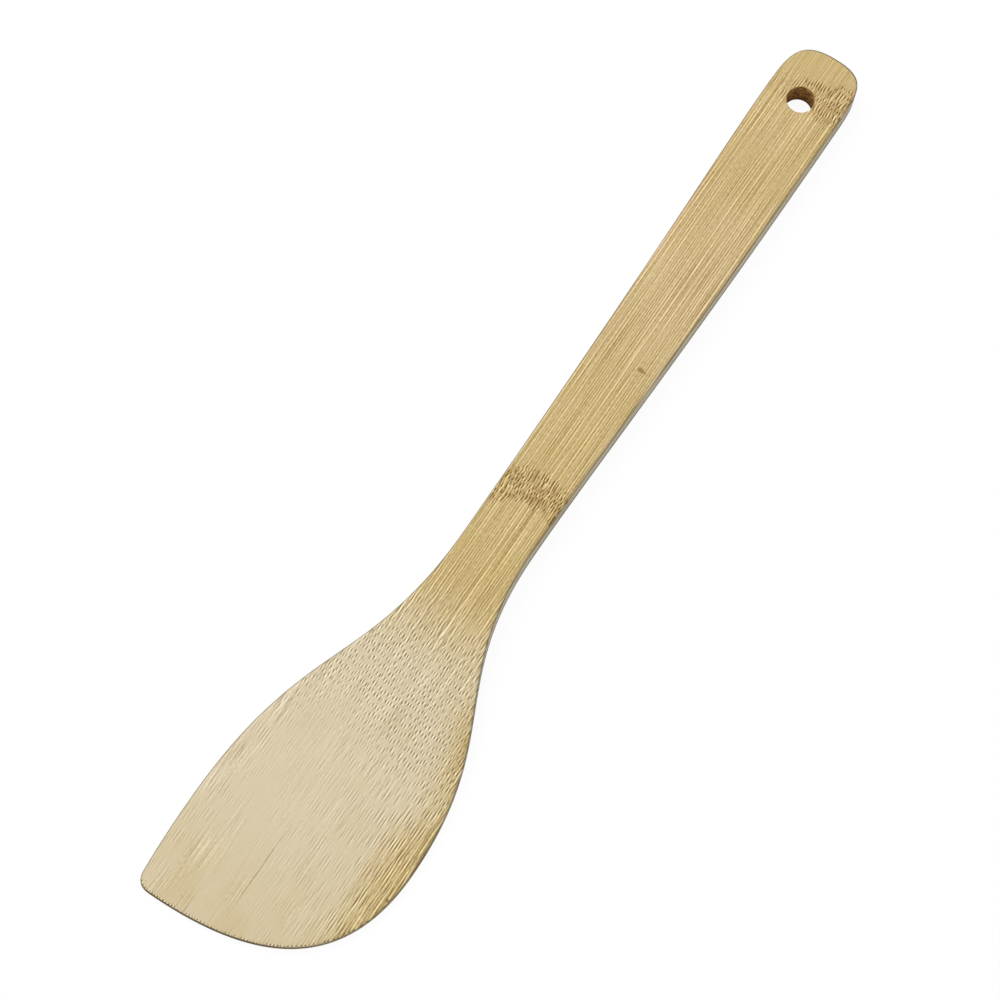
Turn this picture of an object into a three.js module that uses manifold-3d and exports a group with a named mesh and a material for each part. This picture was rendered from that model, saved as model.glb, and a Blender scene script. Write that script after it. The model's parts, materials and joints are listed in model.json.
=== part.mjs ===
// Bamboo turner: a flat kitchen spatula cut from one strip of bamboo culm, with a broad slanted blade,
// a straight handle and a hanging hole. Millimetres, +Z up, lying on its flat back with the handle along +Y.
import * as THREE from "three";
import { LoftGeometry } from "three/addons/geometries/LoftGeometry.js";
import { mergeVertices } from "three/addons/utils/BufferGeometryUtils.js";
import Module from "manifold-3d";

// Overall sizes of the strip
const overallLength = 300;
const handleThickness = 8.5;
const bladeThickness = 3.2;
const tipThickness = 2.4;
const edgeRadius = 1;

// Heights above the tip between which the front face is scooped from handle thickness to blade thickness
const scoopTopHeight = 106;
const scoopFootHeight = 54;

// Blade: the widest place of each side, by its reach from the centre line and its height above the tip
const bladeLeftReach = 29.6;
const bladeLeftHeight = 26.5;
const bladeRightReach = 30.4;
const bladeRightHeight = 43;

// Tip: the left corner, the length that its rounding takes from each edge, and where the left edge leans in
const cornerReach = 28.4;
const cornerCut = 4.2;
const cornerLeanHeight = 14.5;

// Neck: the narrowest place of each side
const neckLeftReach = 9.7;
const neckLeftHeight = 125.5;
const neckRightReach = 9;
const neckRightHeight = 131;

// Handle end: half widths at its shoulders, and the length that the rounding takes on each side
const endLeftReach = 11.8;
const endRightReach = 11.5;
const endLeftRounding = 18.7;
const endRightRounding = 15;

// Lengths over which an edge keeps its direction as it leaves a named place: larger is straighter
const tipEase = 36.5;
const bladeRightTipEase = 30;
const bladeLeftEase = 54;
const bladeRightEase = 42.5;
const neckLeftBladeEase = 47.5;
const neckRightBladeEase = 42;
const neckLeftHandleEase = 88;
const neckRightHandleEase = 34;
const endLeftEase = 27;
const endRightEase = 83;
const endLeftShoulderEase = 12;
const endRightShoulderEase = 12;
const endLeftFlatEase = 11.5;
const endRightFlatEase = 10;

// Hanging hole, drilled a little to the left of the handle's centre line
const holeDiameter = 8;
const holeFromEnd = 16.6;
const holeOffset = -1.2;
const holeRimRadius = 0.2;

// Facets
const stretchSteps = 16;
const edgeSteps = 3;
const holeSides = 36;

const bambooMaterial = new THREE.MeshStandardMaterial({ color: 0xd9bd8b, roughness: 0.62, metalness: 0 });

const wasm = await Module();
wasm.setup();

// A curve whose ends follow given directions: each control point lies its ease away from its end.
function easedCurve(start, startEase, end, endEase) {
  return new THREE.CubicBezierCurve(start, start.clone().add(startEase), end.clone().add(endEase), end);
}

function point(across, along) {
  return new THREE.Vector2(across, along);
}

// Named places on the outline, x across from the handle's centre line and y up from the tip
const leftWide = point(-bladeLeftReach, bladeLeftHeight);
const rightWide = point(bladeRightReach, bladeRightHeight);
const leftNeck = point(-neckLeftReach, neckLeftHeight);
const rightNeck = point(neckRightReach, neckRightHeight);
const leftShoulder = point(-endLeftReach, overallLength - endLeftRounding);
const rightShoulder = point(endRightReach, overallLength - endRightRounding);
const endMiddle = point((endRightReach - endLeftReach) / 2, overallLength);
const corner = point(-cornerReach, 0);
const leanStart = point(-bladeLeftReach, cornerLeanHeight);
const cornerOnSide = leanStart.clone().sub(corner).setLength(cornerCut).add(corner);
const cornerOnTip = point(cornerCut - cornerReach, 0);

// The tip's left corner and the blade's left edge up to its widest place, as one stretch
const leftTipStretch = new THREE.CurvePath();
leftTipStretch.add(new THREE.QuadraticBezierCurve(cornerOnTip, corner, cornerOnSide));
leftTipStretch.add(new THREE.QuadraticBezierCurve(cornerOnSide, leanStart, leftWide));

// Both sides run from the tip's corner to the middle of the handle's end, in stretches that face each other.
const leftSide = [
  leftTipStretch,
  easedCurve(leftWide, point(0, bladeLeftEase), leftNeck, point(0, -neckLeftBladeEase)),
  easedCurve(leftNeck, point(0, neckLeftHandleEase), leftShoulder, point(0, -endLeftEase)),
  easedCurve(leftShoulder, point(0, endLeftShoulderEase), endMiddle, point(-endLeftFlatEase, 0)),
];
const rightSide = [
  easedCurve(cornerOnTip, point(tipEase, 0), rightWide, point(0, -bladeRightTipEase)),
  easedCurve(rightWide, point(0, bladeRightEase), rightNeck, point(0, -neckRightBladeEase)),
  easedCurve(rightNeck, point(0, neckRightHandleEase), rightShoulder, point(0, -endRightEase)),
  easedCurve(rightShoulder, point(0, endRightShoulderEase), endMiddle, point(endRightFlatEase, 0)),
];

// Points along one side, each with its unit normal towards the inside, which is on the left of the side's
// direction when turn is 1 and on the right when turn is -1.
function edgePoints(side, turn) {
  const found = [];
  for (const stretch of side) {
    for (let step = 0; step < stretchSteps; step += 1) {
      const share = step / stretchSteps;
      const tangent = stretch.getTangent(share);
      found.push({ at: stretch.getPoint(share), inward: point(-tangent.y, tangent.x).multiplyScalar(turn) });
    }
  }
  return found;
}

// The outline as one ring, counterclockwise seen from the front: up the right side, then down the left side.
const endPoint = { at: endMiddle, inward: point(0, -1) };
const leftDown = edgePoints(leftSide, -1).slice(1).reverse();
const outline = [...edgePoints(rightSide, 1), endPoint, ...leftDown];

// Height of the front face above the flat back: full on the handle, then a smooth scoop, then a thin taper.
function frontHeight(along) {
  const taper = THREE.MathUtils.clamp(along / scoopFootHeight, 0, 1);
  const blade = THREE.MathUtils.lerp(tipThickness, bladeThickness, taper);
  const scoop = THREE.MathUtils.smoothstep(along, scoopFootHeight, scoopTopHeight);
  return THREE.MathUtils.lerp(blade, handleThickness, scoop);
}

// One ring of the rim: the outline drawn in and raised by the rounding at the given angle, where a quarter
// turn is the upright side. The back edge is rounded up from the back, the front edge down from the front.
function rimRing(angle, onFront) {
  return outline.map(({ at, inward }) => {
    const thickness = frontHeight(at.y);
    const radius = Math.min(edgeRadius, thickness / 2);
    const place = at.clone().addScaledVector(inward, radius * (1 - Math.sin(angle)));
    const rise = radius * (1 - Math.cos(angle));
    return new THREE.Vector3(place.x, place.y, onFront ? thickness - rise : rise);
  });
}

// The middle line of the front face, halfway between the two sides: the last ring folds flat onto it.
function spineRing(ring) {
  return ring.map((near, index) => {
    const far = ring[(ring.length - index) % ring.length];
    return near.clone().add(far).multiplyScalar(0.5);
  });
}

// The strip is lofted from its flat back, round the rim and over the front to its middle line.
function stripGeometry() {
  const rings = [];
  for (let step = 0; step <= edgeSteps; step += 1) {
    rings.push(rimRing((step / edgeSteps) * (Math.PI / 2), false));
  }
  for (let step = edgeSteps; step >= 0; step -= 1) {
    rings.push(rimRing((step / edgeSteps) * (Math.PI / 2), true));
  }
  rings.push(spineRing(rings.at(-1)));
  return new LoftGeometry(rings, { capStart: true });
}

// The drill's cut: a straight bore whose two rims are eased outwards, running past both faces.
function holeCutterGeometry() {
  const bore = holeDiameter / 2;
  const past = holeRimRadius;
  const profile = [new THREE.Vector2(0, -past), new THREE.Vector2(bore + holeRimRadius, -past)];
  for (let step = 0; step <= edgeSteps; step += 1) {
    const angle = (step / edgeSteps) * (Math.PI / 2);
    const radius = bore + holeRimRadius * (1 - Math.sin(angle));
    profile.push(new THREE.Vector2(radius, holeRimRadius * (1 - Math.cos(angle))));
  }
  for (let step = edgeSteps; step >= 0; step -= 1) {
    const angle = (step / edgeSteps) * (Math.PI / 2);
    const radius = bore + holeRimRadius * (1 - Math.sin(angle));
    profile.push(new THREE.Vector2(radius, handleThickness - holeRimRadius * (1 - Math.cos(angle))));
  }
  profile.push(new THREE.Vector2(bore + holeRimRadius, handleThickness + past));
  profile.push(new THREE.Vector2(0, handleThickness + past));
  const cutter = new THREE.LatheGeometry(profile, holeSides);
  cutter.rotateX(Math.PI / 2);
  cutter.translate(holeOffset, overallLength - holeFromEnd, 0);
  return cutter;
}

// A closed geometry as a solid for cutting, with the vertices that its faces share merged.
function solidFrom(geometry) {
  const bare = new THREE.BufferGeometry();
  bare.setAttribute("position", geometry.getAttribute("position"));
  bare.setIndex(geometry.getIndex());
  const merged = mergeVertices(bare);
  return new wasm.Manifold(
    new wasm.Mesh({
      numProp: 3,
      vertProperties: new Float32Array(merged.attributes.position.array),
      triVerts: new Uint32Array(merged.index.array),
    }),
  );
}

function geometryFrom(solid) {
  const { vertProperties, triVerts } = solid.getMesh();
  const geometry = new THREE.BufferGeometry();
  geometry.setAttribute("position", new THREE.BufferAttribute(vertProperties, 3));
  geometry.setIndex(new THREE.BufferAttribute(triVerts, 1));
  geometry.computeVertexNormals();
  return geometry;
}

const strip = solidFrom(stripGeometry()).subtract(solidFrom(holeCutterGeometry()));
const turner = new THREE.Mesh(geometryFrom(strip), bambooMaterial);
turner.name = "turner";

// The origin is the middle of the footprint, on the surface that the back lies on.
turner.position.set((bladeLeftReach - bladeRightReach) / 2, -overallLength / 2, 0);

const bambooTurner = new THREE.Group();
bambooTurner.add(turner);

export default bambooTurner;
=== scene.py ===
import functools
import json
import math
from collections import namedtuple

import bmesh
import bpy
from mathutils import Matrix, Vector
from mathutils.geometry import interpolate_bezier


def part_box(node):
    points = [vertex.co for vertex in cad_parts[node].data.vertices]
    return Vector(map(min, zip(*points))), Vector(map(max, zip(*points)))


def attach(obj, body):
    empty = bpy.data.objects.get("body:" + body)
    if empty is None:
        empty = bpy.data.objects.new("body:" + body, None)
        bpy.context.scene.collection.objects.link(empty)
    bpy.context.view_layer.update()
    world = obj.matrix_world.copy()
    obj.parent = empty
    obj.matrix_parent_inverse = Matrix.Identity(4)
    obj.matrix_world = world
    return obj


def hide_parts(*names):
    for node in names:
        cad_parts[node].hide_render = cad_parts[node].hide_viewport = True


bl_info = {
    "name": "Bamboo turner",
    "version": (1, 0, 0),
    "blender": (4, 5, 0),
    "location": "3D View > Sidebar > Turner",
    "description": "Shapes and finishes a flat kitchen turner cut from one strip of bamboo culm",
    "category": "Object",
}

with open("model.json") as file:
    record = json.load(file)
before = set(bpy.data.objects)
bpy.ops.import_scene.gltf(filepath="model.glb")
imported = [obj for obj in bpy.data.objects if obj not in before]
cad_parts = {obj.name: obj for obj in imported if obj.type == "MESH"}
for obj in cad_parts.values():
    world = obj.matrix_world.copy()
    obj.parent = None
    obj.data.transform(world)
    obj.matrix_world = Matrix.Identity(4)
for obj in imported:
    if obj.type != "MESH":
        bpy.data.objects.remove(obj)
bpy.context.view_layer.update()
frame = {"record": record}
strip_low, strip_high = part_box("turner")

# The drilled hole is where the record says that the strip is open.
hole_low, hole_high = frame["record"]["physics"]["openings"][0]["box_m"]
hole_centre = (Vector(hole_low) + Vector(hole_high)) / 2

MM = 0.001

# Points on each kind of stretch of the outline, and steps of the rounded rims
BLADE_POINTS = 56
HANDLE_POINTS = 64
END_POINTS = 24
LEAN_POINTS = 20
CORNER_POINTS = 10
EDGE_STEPS = 5
HOLE_RIM_STEPS = 4

# Flat margin inside the rounded rims, which keeps the shading of the faces level
CAP_MARGIN = 0.5 * MM

# Heights of the cuts across the strip, above its tip: close together up to the top of the scoop, then wider
# apart on the handle
BLADE_CUTS = [step * 1.5 * MM for step in range(2, 80)]
HANDLE_CUTS = [step * 5 * MM for step in range(24, 59)]

# The square of flat face that the hole is drilled in: half its side as a share of the hole's diameter, the
# room that the other cuts leave round it, and the cuts that divide each of its sides
HOLE_SQUARE_SHARE = 0.75
HOLE_SQUARE_ROOM = 1 * MM
HOLE_SIDE_CUTS = 15

# How near two heights are to count as level, and how near a corner is to a cut to count as lying on it
LEVEL_TOLERANCE = 0.01 * MM
CUT_TOLERANCE = 0.05 * MM


# Sizes and colours that a user would change


def linear(hex_text):
    """An sRGB hex value as linear red, green, blue and full alpha."""
    shares = [int(hex_text[place : place + 2], 16) / 255 for place in (1, 3, 5)]
    levels = [((share + 0.055) / 1.055) ** 2.4 if share > 0.04045 else share / 12.92 for share in shares]
    return (*levels, 1.0)


def colour(label, description, hex_text):
    """A colour property: it is given as an sRGB hex value and kept as linear numbers."""
    return bpy.props.FloatVectorProperty(
        name=label,
        description=description,
        default=linear(hex_text),
        subtype="COLOR",
        size=4,
        min=0.0,
        max=1.0,
    )


def length(label, description, millimetres):
    """A length property: it is given in millimetres and kept in metres."""
    return bpy.props.FloatProperty(
        name=label,
        description=description,
        default=millimetres * MM,
        unit="LENGTH",
        subtype="DISTANCE",
        precision=5,
    )


def angle(label, description, degrees):
    """An angle property: it is given in degrees and kept in radians."""
    return bpy.props.FloatProperty(
        name=label,
        description=description,
        default=math.radians(degrees),
        unit="ROTATION",
        subtype="ANGLE",
    )


class TurnerOutline(bpy.types.PropertyGroup):
    """The strip's outline: reaches are from the handle's centre line, heights are above the tip."""

    overall_length: length("Overall length", "From tip to handle's end", (strip_high.y - strip_low.y) / MM)
    blade_left_reach: length("Blade left reach", "Reach of the blade's widest place on the left", 29.6)
    blade_left_height: length("Blade left height", "Height of the blade's widest place on the left", 26.5)
    blade_right_reach: length("Blade right reach", "Reach of the blade's widest place on the right", 30.4)
    blade_right_height: length("Blade right height", "Height of the blade's widest place on the right", 43)
    corner_reach: length("Corner reach", "Reach of the tip's left corner before it is rounded", 28.4)
    corner_cut: length("Corner cut", "Length that the corner's rounding takes from each edge", 4.2)
    corner_lean_height: length("Corner lean height", "Height at which the left edge leans in", 14.5)
    neck_left_reach: length("Neck left reach", "Reach of the narrowest place on the left", 9.7)
    neck_left_height: length("Neck left height", "Height of the narrowest place on the left", 125.5)
    neck_right_reach: length("Neck right reach", "Reach of the narrowest place on the right", 9)
    neck_right_height: length("Neck right height", "Height of the narrowest place on the right", 131)
    end_left_reach: length("End left reach", "Reach of the handle's left shoulder", 11.8)
    end_right_reach: length("End right reach", "Reach of the handle's right shoulder", 11.5)
    end_left_rounding: length("End left rounding", "Length that the end's rounding takes on the left", 18.7)
    end_right_rounding: length("End right rounding", "Length that the end's rounding takes on the right", 15)
    tip_ease: length("Tip ease", "How far the tip's edge runs straight from the corner", 36.5)
    blade_right_tip_ease: length("Blade right tip ease", "Straightness of the right edge towards the tip", 30)
    blade_left_ease: length("Blade left ease", "Straightness of the left edge towards the neck", 54)
    blade_right_ease: length("Blade right ease", "Straightness of the right edge towards the neck", 42.5)
    neck_left_blade_ease: length("Neck left blade ease", "Straightness of the left neck down", 47.5)
    neck_right_blade_ease: length("Neck right blade ease", "Straightness of the right neck down", 42)
    neck_left_handle_ease: length("Neck left handle ease", "Straightness of the left neck up", 88)
    neck_right_handle_ease: length("Neck right handle ease", "Straightness of the right neck up", 34)
    end_left_ease: length("End left ease", "Straightness of the left shoulder down", 27)
    end_right_ease: length("End right ease", "Straightness of the right shoulder down", 83)
    end_left_shoulder_ease: length("End left shoulder ease", "Straightness of the left shoulder up", 12)
    end_right_shoulder_ease: length("End right shoulder ease", "Straightness of the right shoulder up", 12)
    end_left_flat_ease: length("End left flat ease", "Flatness of the end on the left", 11.5)
    end_right_flat_ease: length("End right flat ease", "Flatness of the end on the right", 10)


class TurnerSection(bpy.types.PropertyGroup):
    """The strip's thickness along its length, its rounded rims and its hanging hole."""

    handle_thickness: length("Handle thickness", "From flat back to front", (strip_high.z - strip_low.z) / MM)
    blade_thickness: length("Blade thickness", "Thickness at the foot of the scoop", 3.2)
    tip_thickness: length("Tip thickness", "Thickness at the blade's tip", 2.4)
    scoop_top_height: length("Scoop top height", "Height above the tip where the front starts to fall", 106)
    scoop_foot_height: length("Scoop foot height", "Height above the tip where the scoop runs out", 54)
    edge_radius: length("Edge radius", "Rounding of the strip's front and back edges", 1)
    hole_diameter: length("Hole diameter", "Diameter of the drilled hanging hole", 8)
    hole_rim_radius: length("Hole rim radius", "Rounding of the hole's two rims", 0.2)


class BambooLook(bpy.types.PropertyGroup):
    """Colours of sanded bamboo, and of the shade painted on its edges."""

    outer_colour: colour("Outer wood", "Golden wood under the culm's skin", "#ceb27f")
    olive_colour: colour("Olive wood", "Outer wood where it is a little greener", "#c6ac6c")
    inner_colour: colour("Inner wood", "Pale wood deeper in the culm's wall", "#dbccab")
    pore_colour: colour("Pores", "Dark pores of the fibre bundles", "#6e5112")
    ring_colour: colour("Growth ring", "Brown tint of the growth rings", "#a27c43")
    mark_colour: colour("Marks", "Brown marks on the strip", "#8a6a33")
    # Painted shade: a dark colour laid on the rounded rims, a little on the sides, and on the rims that face
    # the handle's end
    rim_shade_colour: colour("Burnished edge", "Rounded edges of the strip", "#675d3e")
    wall_colour: colour("Sides", "Sawn sides of the strip", "#d5cab0")
    # Partly the darker end grain of the tip and the handle's end, and partly painted shade: the same dark
    # colour is laid on the end rims, the low sides and faces that look down
    end_grain_and_shade_colour: colour("End grain", "Ends of the bundles, at the tip and the handle's end", "#54452b")
    burnt_colour: colour("Burnt bore", "Wood that the drill has burnt", "#84603a")
    scorched_colour: colour("Scorched bore", "Wood that the drill has scorched", "#d4a864")


class StudioStage(bpy.types.PropertyGroup):
    """Floor, light and camera."""

    floor_colour: colour("Floor", "Plain pale floor, as the camera sees it", "#ffffff")
    bounce_colour: colour("Floor bounce", "The floor as it throws light back at the strip", "#bcbcbc")
    shade_colour: colour("Floor shade", "The part of the floor's white that a shadow darkens", "#4b4b4b")
    sky_colour: colour("Sky", "Even light from all round", "#ffffff")
    floor_glow: bpy.props.FloatProperty(
        name="Floor glow",
        description="Brightness of the floor that a shadow leaves alone",
        default=0.94,
        min=0.0,
    )
    sky_strength: bpy.props.FloatProperty(
        name="Sky strength",
        description="Strength of the even light",
        default=0.6,
        min=0.0,
    )
    lamp_power: bpy.props.FloatProperty(
        name="Lamp power",
        description="Power of the large soft lamp",
        default=15.0,
        min=0.0,
        unit="POWER",
    )
    lamp_size: length("Lamp size", "Side of the square lamp", 1000)
    camera_tilt: angle("Camera tilt", "Tilt of the view away from straight down", 16.3)
    camera_heading: angle("Camera heading", "Turn of the view about the upright axis", 33.786)
    camera_distance: length("Camera distance", "Distance from the camera to the strip's front", 658.6)
    camera_lens: bpy.props.FloatProperty(
        name="Lens",
        description="Focal length on a 36 mm sensor",
        default=87.95,
        subtype="DISTANCE_CAMERA",
        unit="CAMERA",
    )


# Shape of the strip


def outline_stretches(outline):
    """The outline's Bezier stretches, counterclockwise from the tip, each with its count of points."""
    top = outline.overall_length
    left_wide = Vector((-outline.blade_left_reach, outline.blade_left_height, 0))
    right_wide = Vector((outline.blade_right_reach, outline.blade_right_height, 0))
    left_neck = Vector((-outline.neck_left_reach, outline.neck_left_height, 0))
    right_neck = Vector((outline.neck_right_reach, outline.neck_right_height, 0))
    left_shoulder = Vector((-outline.end_left_reach, top - outline.end_left_rounding, 0))
    right_shoulder = Vector((outline.end_right_reach, top - outline.end_right_rounding, 0))
    end_middle = Vector(((outline.end_right_reach - outline.end_left_reach) / 2, top, 0))
    corner = Vector((-outline.corner_reach, 0, 0))
    lean_start = Vector((-outline.blade_left_reach, outline.corner_lean_height, 0))
    corner_on_side = corner + (lean_start - corner).normalized() * outline.corner_cut
    corner_on_tip = corner + Vector((outline.corner_cut, 0, 0))
    up = Vector((0, 1, 0))
    right = Vector((1, 0, 0))

    def eased(start, start_way, end, end_way, count):
        """A stretch that leaves its start and reaches its end along given ways."""
        return start, start + start_way, end + end_way, end, count

    def rounded(start, middle, end, count):
        """A stretch that is bent towards one middle point."""
        return start, start.lerp(middle, 2 / 3), end.lerp(middle, 2 / 3), end, count

    return [
        eased(
            corner_on_tip,
            right * outline.tip_ease,
            right_wide,
            -up * outline.blade_right_tip_ease,
            BLADE_POINTS,
        ),
        eased(
            right_wide,
            up * outline.blade_right_ease,
            right_neck,
            -up * outline.neck_right_blade_ease,
            BLADE_POINTS,
        ),
        eased(
            right_neck,
            up * outline.neck_right_handle_ease,
            right_shoulder,
            -up * outline.end_right_ease,
            HANDLE_POINTS,
        ),
        eased(
            right_shoulder,
            up * outline.end_right_shoulder_ease,
            end_middle,
            right * outline.end_right_flat_ease,
            END_POINTS,
        ),
        eased(
            end_middle,
            -right * outline.end_left_flat_ease,
            left_shoulder,
            up * outline.end_left_shoulder_ease,
            END_POINTS,
        ),
        eased(
            left_shoulder,
            -up * outline.end_left_ease,
            left_neck,
            up * outline.neck_left_handle_ease,
            HANDLE_POINTS,
        ),
        eased(
            left_neck,
            -up * outline.neck_left_blade_ease,
            left_wide,
            up * outline.blade_left_ease,
            BLADE_POINTS,
        ),
        rounded(left_wide, lean_start, corner_on_side, LEAN_POINTS),
        rounded(corner_on_side, corner, corner_on_tip, CORNER_POINTS),
    ]


def outline_ring(outline):
    """Points along the whole outline, with the origin moved to the middle of the footprint."""
    middle = (outline.blade_right_reach - outline.blade_left_reach) / 2
    shift = Vector((-middle, -outline.overall_length / 2, 0))
    ring = []
    for start, start_handle, end_handle, end, count in outline_stretches(outline):
        points = interpolate_bezier(start, start_handle, end_handle, end, count + 1)
        ring += [point + shift for point in points[:-1]]
    return ring


def round_edges(mesh, edges, radius, steps):
    """Rounds the given edges."""
    bmesh.ops.bevel(
        mesh,
        geom=edges,
        offset=radius,
        offset_type="OFFSET",
        segments=steps,
        profile=0.5,
        affect="EDGES",
        clamp_overlap=False,
        material=-1,
    )


def prism_from_outline(mesh, outline, section):
    """A flat prism of the handle's thickness, with both of its rims rounded."""
    ring = outline_ring(outline)
    made = bmesh.ops.create_circle(mesh, cap_ends=True, segments=len(ring), radius=1)
    for corner, point in zip(made["verts"], ring):
        corner.co = point
    lifted = bmesh.ops.extrude_face_region(mesh, geom=mesh.faces[:], use_keep_orig=True)
    raised = [part for part in lifted["geom"] if isinstance(part, bmesh.types.BMVert)]
    bmesh.ops.translate(mesh, verts=raised, vec=(0, 0, section.handle_thickness))
    bmesh.ops.recalc_face_normals(mesh, faces=mesh.faces[:])
    rims = [edge for edge in mesh.edges if abs(edge.verts[0].co.z - edge.verts[1].co.z) < LEVEL_TOLERANCE]
    round_edges(mesh, rims, section.edge_radius, EDGE_STEPS)
    caps = sorted(mesh.faces, key=lambda face: face.calc_area())[-2:]
    bmesh.ops.inset_region(mesh, faces=caps, thickness=CAP_MARGIN, use_even_offset=True, use_boundary=True)


def cut_through(mesh, faces, place, direction):
    """One straight cut through the given faces."""
    edges = [edge for face in faces for edge in face.edges]
    corners = [corner for face in faces for corner in face.verts]
    geometry = list(dict.fromkeys([*faces, *edges, *corners]))
    bmesh.ops.bisect_plane(mesh, geom=geometry, dist=CUT_TOLERANCE, plane_co=place, plane_no=direction)


def cross_cuts(mesh, reach):
    """Cuts across the strip, so that its faces can follow the scoop, with a clear square round the hole."""
    places = [strip_low.y + height for height in BLADE_CUTS + HANDLE_CUTS]
    kept = [place for place in places if abs(place - hole_centre.y) > reach + HOLE_SQUARE_ROOM]
    for place in kept + [hole_centre.y - reach, hole_centre.y + reach]:
        cut_through(mesh, mesh.faces[:], (0, place, 0), (0, 1, 0))


def face_over(mesh, middle):
    """The flat face that has the given point inside it."""
    for face in mesh.faces:
        corners = [corner.co for corner in face.verts]
        low = Vector(min(corner[axis] for corner in corners) for axis in range(3))
        high = Vector(max(corner[axis] for corner in corners) for axis in range(3))
        level = max(abs(low.z - middle.z), abs(high.z - middle.z)) < LEVEL_TOLERANCE
        if level and low.x < middle.x < high.x and low.y < middle.y < high.y:
            return face
    raise RuntimeError("The strip has no flat face for the hole")


def drill_hole(mesh, section, reach):
    """A round hole through the square: both faces are opened, and the two rings are joined and rounded."""
    radius = section.hole_diameter / 2
    rings = []
    for level in (0.0, section.handle_thickness):
        middle = Vector((hole_centre.x, hole_centre.y, level))
        for side in (-reach, reach):
            cut_through(mesh, [face_over(mesh, middle)], middle + Vector((side, 0, 0)), (1, 0, 0))
        square = face_over(mesh, middle)
        square_edges = list(square.edges)
        bmesh.ops.delete(mesh, geom=[square], context="FACES_ONLY")
        split = bmesh.ops.subdivide_edges(mesh, edges=square_edges, cuts=HOLE_SIDE_CUTS)
        split_edges = [part for part in split["geom_split"] if isinstance(part, bmesh.types.BMEdge)]
        frame_edges = list(dict.fromkeys([*square_edges, *split_edges]))
        drawn = bmesh.ops.extrude_edge_only(mesh, edges=frame_edges)
        ring = {part for part in drawn["geom"] if isinstance(part, bmesh.types.BMVert)}
        for corner in ring:
            corner.co = middle + (corner.co - middle).normalized() * radius
        rings += [edge for edge in mesh.edges if edge.verts[0] in ring and edge.verts[1] in ring]
    bmesh.ops.bridge_loops(mesh, edges=rings)
    bmesh.ops.recalc_face_normals(mesh, faces=mesh.faces[:])
    round_edges(mesh, rings, section.hole_rim_radius, HOLE_RIM_STEPS)


def smooth_share(value, low, high):
    """From 0 at low to 1 at high, starting and ending level."""
    share = min(max((value - low) / (high - low), 0.0), 1.0)
    return share * share * (3 - 2 * share)


def front_height(section, along):
    """Height of the front face above the flat back, at a height above the tip."""
    taper = min(max(along / section.scoop_foot_height, 0.0), 1.0)
    blade = section.tip_thickness + (section.blade_thickness - section.tip_thickness) * taper
    scoop = smooth_share(along, section.scoop_foot_height, section.scoop_top_height)
    return blade + (section.handle_thickness - blade) * scoop


def scoop_front(mesh, section):
    """Lowers the front half of the strip to the height of its scooped front face."""
    half = section.handle_thickness / 2
    for corner in mesh.verts:
        if corner.co.z > half:
            corner.co.z -= section.handle_thickness - front_height(section, corner.co.y - strip_low.y)


def finished_piece(mesh, name, scene):
    """Turns a bmesh into an object of the scene."""
    data = bpy.data.meshes.new(name)
    mesh.to_mesh(data)
    mesh.free()
    piece = bpy.data.objects.new(name, data)
    scene.collection.objects.link(piece)
    return piece


# Materials

COORDINATES = "ShaderNodeTexCoord"
SPLIT = "ShaderNodeSeparateXYZ"
JOIN = "ShaderNodeCombineXYZ"
MATH = "ShaderNodeMath"
VECTOR = "ShaderNodeVectorMath"
RANGE = "ShaderNodeMapRange"
NOISE = "ShaderNodeTexNoise"
CELLS = "ShaderNodeTexVoronoi"
MIX = "ShaderNodeMix"
DIFFUSE = "ShaderNodeBsdfDiffuse"
BACKGROUND = "ShaderNodeBackground"
MIX_SHADERS = "ShaderNodeMixShader"

# Settings that many nodes share
EASED = {"interpolation_type": "SMOOTHSTEP"}
TIMES = {"operation": "MULTIPLY"}
DIVIDED = {"operation": "DIVIDE"}
PLUS = {"operation": "ADD"}
MINUS = {"operation": "SUBTRACT"}
TIMES_PLUS = {"operation": "MULTIPLY_ADD"}
POWER = {"operation": "POWER"}
LARGER = {"operation": "MAXIMUM"}
UNSIGNED = {"operation": "ABSOLUTE"}
SCALED = {"operation": "SCALE"}
LENGTH = {"operation": "LENGTH"}
CLAMPED_TIMES = {"operation": "MULTIPLY", "use_clamp": True}
CLAMPED_PLUS = {"operation": "ADD", "use_clamp": True}
FLAT_NOISE = {"noise_dimensions": "2D"}
FLAT_CELLS = {"voronoi_dimensions": "2D"}
LINE_CELLS = {"voronoi_dimensions": "1D"}
BLEND = {"data_type": "RGBA"}

# Places of a colour mix's inputs and output among its sockets
MIX_SHARE = 0
MIX_UNDER = 6
MIX_OVER = 7
MIXED = 2

# What a noise gives on average, as a number and as a vector
NOISE_MEAN = 0.5
NOISE_MIDDLE = (NOISE_MEAN, NOISE_MEAN, NOISE_MEAN)

# Below, places and sizes are in millimetres: across the strip to the right of its middle, along it from its
# middle towards the handle's end, and through it, over the back as a height or under the handle as a depth.
# A size is across, along and through. A change is where it starts and ends, then the value before and after.

# Growth rings: middle, lean and bow across the strip, half width and what it loses per millimetre to the
# right, then the strength on the left and on the right, and where each of these two holds
RINGS = (
    (-4.2, 0.1, 0.033, 4.9, 0.1, 1.0, 1.0),
    (135.9, 0.18, 0.0, 4.8, -0.2, 0.35, 0.85),
)
RING_SIDES = (-8, 2)
RING_FRAY_SIZE = (2.4, 4, 4)
RING_FRAY = 5
RING_SOFTNESS = 1.2

# Course of the fibres: slow wandering, quick twists in a growth ring, and the slant into the depth, with the
# stretches of fibre that a growth ring and the neck add to it
WANDER_SIZE = (8, 60, 8)
WANDER_REACH = (0.5, 0, 1.2)
TWIST_SIZE = (11, 4.5, 11)
TWIST_REACH = (0.8, 0, 1.0)
FIBRE_SLANT = (0, 0, 0.04)
RING_DIVE = 3.8
NECK_DIVE = -30

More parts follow.
